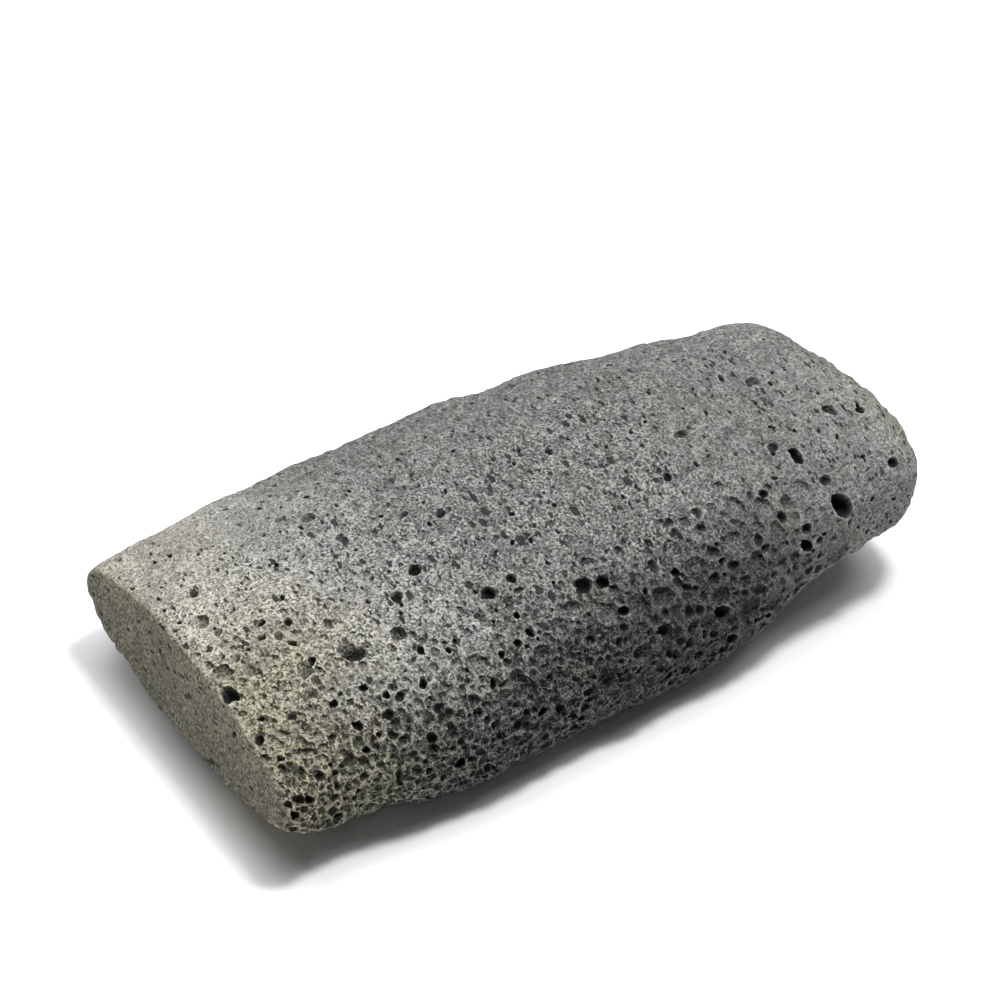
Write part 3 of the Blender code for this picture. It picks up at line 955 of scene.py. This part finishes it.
def grid_mesh(name, points, layers):
    """A closed mesh of the grid: its first and last rows are one point each, and its columns wrap round."""
    rows, columns = points.shape[:2]
    body = points[1:-1].reshape(-1, 3)
    corners = np.concatenate([points[:1, 0], body, points[-1:, 0]]) * MM
    number = 1 + np.arange((rows - 2) * columns).reshape(rows - 2, columns)
    beside = np.roll(number, -1, axis=1)
    quads = np.stack([number[:-1], beside[:-1], beside[1:], number[1:]], axis=-1).reshape(-1, 4)
    first = np.stack([np.zeros(columns, int), beside[0], number[0]], axis=-1)
    last = np.stack([np.full(columns, len(corners) - 1), number[-1], beside[-1]], axis=-1)
    mesh = bpy.data.meshes.new(name)
    loops = np.concatenate([first.ravel(), quads.ravel(), last.ravel()])
    starts = np.concatenate([
        3 * np.arange(columns), 3 * columns + 4 * np.arange(len(quads)),
        3 * columns + 4 * len(quads) + 3 * np.arange(columns)])
    mesh.vertices.add(len(corners))
    mesh.vertices.foreach_set("co", corners.astype(np.float32).ravel())
    mesh.loops.add(len(loops))
    mesh.loops.foreach_set("vertex_index", loops.astype(np.int32))
    mesh.polygons.add(len(starts))
    mesh.polygons.foreach_set("loop_start", starts.astype(np.int32))
    for layer_name, values in layers.items():
        layer = mesh.attributes.new(layer_name, "FLOAT", "POINT")
        flat = np.concatenate([values[:1, 0], values[1:-1].ravel(), values[-1:, 0]])
        layer.data.foreach_set("value", flat.astype(np.float32))
    mesh.update(calc_edges=True)
    mesh.validate()
    return mesh


def thinned(piece, triangles):
    """The piece's mesh with its flattest faces merged, down to a number of triangles."""
    piece.data.calc_loop_triangles()
    cut = piece.modifiers.new("thin out", "DECIMATE")
    cut.ratio = triangles / len(piece.data.loop_triangles)
    cut.use_collapse_triangulate = True
    graph = bpy.context.evaluated_depsgraph_get()
    mesh = bpy.data.meshes.new_from_object(piece.evaluated_get(graph))
    piece.modifiers.clear()
    return mesh


def numbers(collection, name, width=1):
    """One number or vector of every item of a mesh's collection, as an array."""
    found = np.empty(len(collection) * width, np.float32)
    collection.foreach_get(name, found)
    return found.reshape(-1, width) if width > 1 else found


def unfold(mesh):
    """Lays a mesh of triangles out flat on a UV map, in millimetres scaled to the unit square.

    Between the two STRIP_PATHS is a strip: across it goes the length around the bar, from the seam, and up
    it the mean length along the path. The sawn face and the tip of the nose lie above the strip, side by
    side, as they are seen from outside along the bar. A triangle that crosses the seam isn't torn.
    """
    corners = np.empty(len(mesh.loops), np.int32)
    mesh.loops.foreach_get("vertex_index", corners)
    if len(corners) != 3 * len(mesh.polygons):
        raise RuntimeError("the thinned skin has faces that aren't triangles")
    corners = corners.reshape(-1, 3)
    _, y, z = np.moveaxis(numbers(mesh.vertices, "co", 3)[corners] / MM, -1, 0)
    path, cosine, sine = (numbers(mesh.attributes[name].data, "value") for name in ("path", "cosine", "sine"))
    path, turn = path[corners], np.arctan2(sine, cosine)[corners]

    (paths, ahead), (angles, aside) = skin_lengths()
    lap, seam = 2 * np.pi, np.radians(SEAM_DEGREES)
    turn = turn[:, :1] + (turn - turn[:, :1] + np.pi) % lap - np.pi
    turn = turn - lap * np.floor((turn.mean(axis=1, keepdims=True) - seam) / lap)
    over = np.floor((turn - seam) / lap)
    across = np.interp(turn - lap * over, angles, aside) + aside[-1] * over
    start, end = np.interp(STRIP_PATHS, paths, ahead)
    strip = np.stack([across + UV_GAP, np.interp(path, paths, ahead) - start + UV_GAP], axis=-1)
    above = end - start + 3 * UV_GAP
    face = np.stack([BREADTH / 2 - y + UV_GAP, z + above], axis=-1)
    nose = np.stack([BREADTH * 1.5 + y + 3 * UV_GAP, z + above], axis=-1)

    middle = path.mean(axis=1)[:, None, None]
    flat = np.where(middle < STRIP_PATHS[0], face, np.where(middle > STRIP_PATHS[1], nose, strip))
    flat = flat / (aside[-1] + 2 * UV_GAP, above + THICKNESS + UV_GAP)
    mesh.uv_layers.new(name=UV_MAP).data.foreach_set("uv", flat.astype(np.float32).ravel())
    for name in ("path", "cosine", "sine"):
        mesh.attributes.remove(mesh.attributes[name])


def roughened(points, path, kinds):
    """The points moved along their normals by noise whose height depends on the region."""
    height = mixed(kinds, "relief") + RIM_RELIEF * window(path, RIM_PATHS)
    height = height * layered_noise(points, RELIEF_LAYERS, RELIEF_SEED)
    return points + grid_normals(points) * height[..., None]


def marks(points, around, bar, kinds):
    """Values over the grid for the finish: how dark with painted shade, ridged, olive, pale, gritty and so on
    the skin is.

    The tones, partly painted light and shade, and the olive cast follow the places along the bar, wandering a
    little. The grit is sharpest on the worn top and near side. On the sawn face the tones, painted darker
    near the floor as shade, and the slits grow with height instead.
    """
    wander, size = TONE_WANDER
    x = points[..., 0] + wander * lattice_noise(points, size, TONE_SEED)
    turn = from_underside(around)
    face, height = kinds["sawn face"], points[..., 2]
    rugged = kinds["near side"] + kinds["coarse foam"]
    front = window(turn, FRONT)

    olive = (1 - ramp(x, *OLIVE_END)) * (OLIVE_BACK + (1 - OLIVE_BACK) * front)
    clouds = OLIVE_CLOUDS[0] * ramp(lattice_noise(points, CLOUD_SIZE, CLOUD_SEED), *OLIVE_CLOUDS[1:])
    olive = np.maximum.reduce([olive, face, clouds, OLIVE_NOSE[0] * ramp(x, *OLIVE_NOSE[1:])])

    tone = mixed(kinds, "tone") - DARK_TONE * window(x, DARK_MIDDLE)
    tone = tone + PALE_TONE * (1 - ramp(x, *PALE_END)) * (1 - PALE_LESS * rugged)
    tone = tone + CORNER_TONE * (1 - ramp(x, *PALE_CORNER)) * rugged + NOSE_TONE * ramp(x, *PALE_NOSE) * front
    low_tone, rise, *heights = FACE_TONE
    tone = tone * (1 - face) + face * (low_tone + rise * ramp(height, *heights))

    top_grit = TOP_GRIT * (1 - ramp(x, *GRITTY_MIDDLE[2:])) + MIDDLE_GRIT * window(x, GRITTY_MIDDLE)
    top_grit = top_grit * window(turn, GRITTY_TOP) * (1 - face)
    face_slits = FACE_SLITS[0] * face * ramp(height, *FACE_SLITS[1:])
    return {
        "gloom": bar.gloom, "wall": ridges(bar.sunk), "olive": olive, "tone": tone,
        "net": mixed(kinds, "net"), "cells": mixed(kinds, "cells"),
        "slits": mixed(kinds, "slits") + face_slits, "grit": mixed(kinds, "grit") + top_grit}


class PUMICE_OT_stone(bpy.types.Operator):
    """Add the stone's pitted skin in place of its plain solid"""

    bl_idname = "pumice.stone"
    bl_label = "Stone"

    def execute(self, context):
        settings = context.scene.pumice_stone
        rows, columns = grid_lines(settings.grid_spacing / MM)
        path, around = np.meshgrid(rows, columns, indexing="ij")
        points = skin(path, around)
        low, high = points.min(axis=(0, 1)), points.max(axis=(0, 1))
        box = [np.array(corner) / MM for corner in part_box(NODE)]
        shift = (box[0] + box[1] - low - high) / 2
        shift[2] = box[0][2] - low[2]

        kinds = regions(points, path, around)
        points = roughened(points, path, kinds)
        warp = [layered_noise(points, WARP_LAYERS, WARP_SEED + 2 * axis) for axis in range(3)]
        bar = Skin(points, np.stack(warp, axis=-1))
        open_large_pits(bar, path, around)
        open_small_bubbles(bar, kinds, settings.foam_size)
        finished = bar.points + shift
        finished[..., 2] = np.maximum(finished[..., 2], box[0][2])

        layers = marks(points, around, bar, kinds)
        layers.update(path=path, cosine=np.cos(around), sine=np.sin(around))
        piece = bpy.data.objects.new(NODE + "_skin", grid_mesh(NODE + "_skin", finished, layers))
        context.scene.collection.objects.link(piece)
        piece.data = thinned(piece, settings.triangles)
        unfold(piece.data)
        piece.data.polygons.foreach_set("use_smooth", [True] * len(piece.data.polygons))
        piece.data.set_sharp_from_angle(angle=np.radians(SHARP_DEGREES))
        piece.data.materials.append(pumice_finish(settings))
        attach(piece, "root")
        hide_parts(NODE)
        return {"FINISHED"}


def back_of(azimuth, elevation):
    """The direction from the stone to a place at an azimuth and elevation, in degrees."""
    turn, rise = np.radians(azimuth), np.radians(elevation)
    return Vector((np.sin(turn) * np.cos(rise), -np.cos(turn) * np.cos(rise), np.sin(rise)))


def aim(thing, place, target):
    thing.location = place
    thing.rotation_euler = (place - target).to_track_quat("Z", "Y").to_euler()


def paper_finish(grey):
    """Matt white paper, pressed smooth: to the eye a pale ground with soft shadows and no gloss."""
    material = bpy.data.materials.new("matt_white_paper")
    material.use_nodes = True
    surface = material.node_tree.nodes["Principled BSDF"]
    surface.inputs["Base Color"].default_value = (grey, grey, grey, 1)
    surface.inputs["Roughness"].default_value = PAPER_ROUGHNESS
    return material


class PUMICE_OT_stage(bpy.types.Operator):
    """Add the floor, the soft light and the camera"""

    bl_idname = "pumice.stage"
    bl_label = "Stage"

    def execute(self, context):
        scene = context.scene
        settings = scene.pumice_stage

        mesh = bpy.data.meshes.new("floor")
        corners = [(x * FLOOR_REACH, y * FLOOR_REACH, 0) for x, y in ((-1, -1), (1, -1), (1, 1), (-1, 1))]
        mesh.from_pydata(corners, [], [(0, 1, 2, 3)])
        mesh.materials.append(paper_finish(settings.floor_grey))
        floor = bpy.data.objects.new("floor", mesh)
        scene.collection.objects.link(floor)

        for lamp in LAMPS:
            data = bpy.data.lights.new(lamp.name, "AREA")
            data.shape = "DISK"
            data.size = lamp.breadth
            data.energy = lamp.power * settings.light
            light = bpy.data.objects.new(lamp.name, data)
            scene.collection.objects.link(light)
            aim(light, LOOK_AT + back_of(lamp.azimuth, lamp.elevation) * lamp.distance, LOOK_AT)

        world = bpy.data.worlds.new("studio")
        world.use_nodes = True
        background = world.node_tree.nodes["Background"]
        background.inputs["Color"].default_value = srgb(AMBIENT_COLOUR)
        background.inputs["Strength"].default_value = settings.ambient
        scene.world = world
        scene.view_settings.view_transform = "Standard"

        camera = bpy.data.objects.new("camera", bpy.data.cameras.new("camera"))
        scene.collection.objects.link(camera)
        camera.data.lens = settings.lens
        camera.data.sensor_width = SENSOR_WIDTH
        camera.data.clip_start = CLIP_START
        aim(camera, LOOK_AT + back_of(VIEW_AZIMUTH, VIEW_ELEVATION) * settings.camera_distance, LOOK_AT)
        camera.location += camera.rotation_euler.to_matrix() @ VIEW_MOVE
        scene.camera = camera
        return {"FINISHED"}


class PUMICE_PT_panel(bpy.types.Panel):
    bl_label = "Pumice Stone"
    bl_idname = "PUMICE_PT_panel"
    bl_space_type = "VIEW_3D"
    bl_region_type = "UI"
    bl_category = "Pumice"

    def draw(self, context):
        layout = self.layout
        for group in (context.scene.pumice_stone, context.scene.pumice_stage):
            for name in group.__annotations__:
                layout.prop(group, name)
        for operator in (PUMICE_OT_stone, PUMICE_OT_stage):
            layout.operator(operator.bl_idname)


CLASSES = (StoneSettings, StageSettings, PUMICE_OT_stone, PUMICE_OT_stage, PUMICE_PT_panel)


def register():
    for thing in CLASSES:
        bpy.utils.register_class(thing)
    bpy.types.Scene.pumice_stone = PointerProperty(type=StoneSettings)
    bpy.types.Scene.pumice_stage = PointerProperty(type=StageSettings)


def unregister():
    del bpy.types.Scene.pumice_stage
    del bpy.types.Scene.pumice_stone
    for thing in reversed(CLASSES):
        bpy.utils.unregister_class(thing)


def main():
    register()
    bpy.ops.pumice.stone()
    bpy.ops.pumice.stage()


if __name__ == "__main__":
    main()
